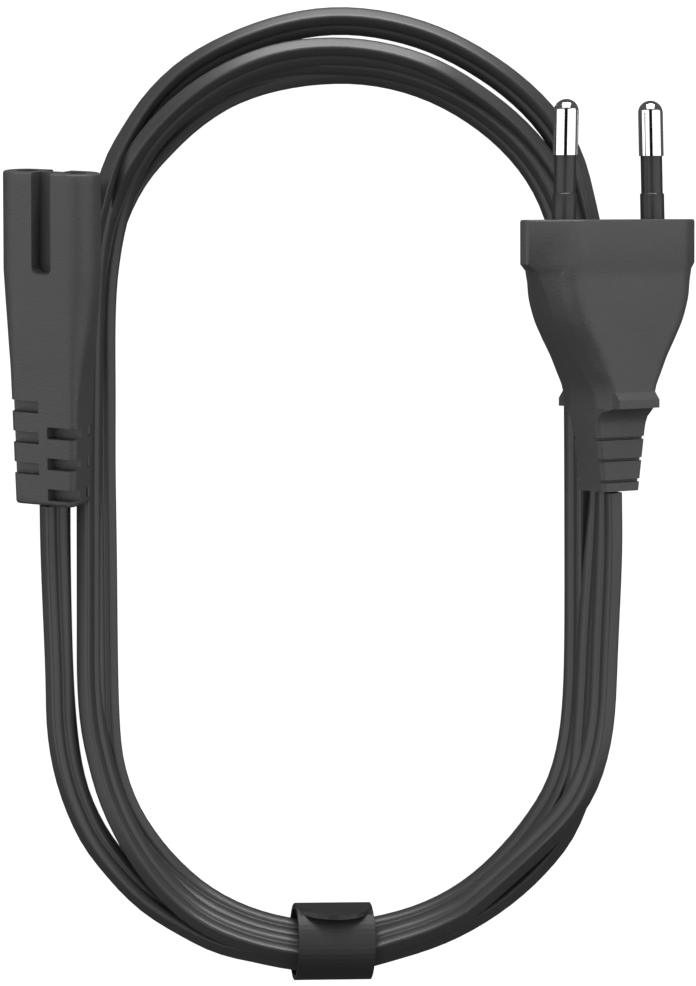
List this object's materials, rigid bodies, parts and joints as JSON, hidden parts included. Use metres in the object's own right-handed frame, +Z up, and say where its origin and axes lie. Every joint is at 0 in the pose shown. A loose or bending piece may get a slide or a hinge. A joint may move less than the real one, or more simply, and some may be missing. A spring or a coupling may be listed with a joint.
{
  "type": "power cord",
  "caption": "Flat twin power cord with a figure-8 connector on one end and a two-pin round-pin plug on the other, coiled in an oval and held by a cable strap.",
  "frame": {"origin": "floor level under the middle of the box round the connector, the plug and the strap", "axes": "+X from the connector to the plug, +Y along the plug's pins, away from the strap, +Z up from the floor"},
  "size_m": [0.1116, 0.1588, 0.0236],
  "materials": {
    "moulding": "fine-grained matt black moulding",
    "flex": "smooth satin black flexible sheath",
    "insulation": "satin black",
    "strap": "matt black",
    "pin_metal": "bright nickel plate"
  },
  "bodies": {
    "root": {"c7_connector": "moulding", "contact_left": "pin_metal", "contact_right": "pin_metal", "plug_body": "moulding", "pin_left": "pin_metal", "pin_right": "pin_metal", "pin_sleeve_left": "insulation", "pin_sleeve_right": "insulation", "flex_coil": "flex", "flex_connector_lead": "flex", "flex_plug_lead": "flex", "cable_strap": "strap"}
  },
  "joints": []
}
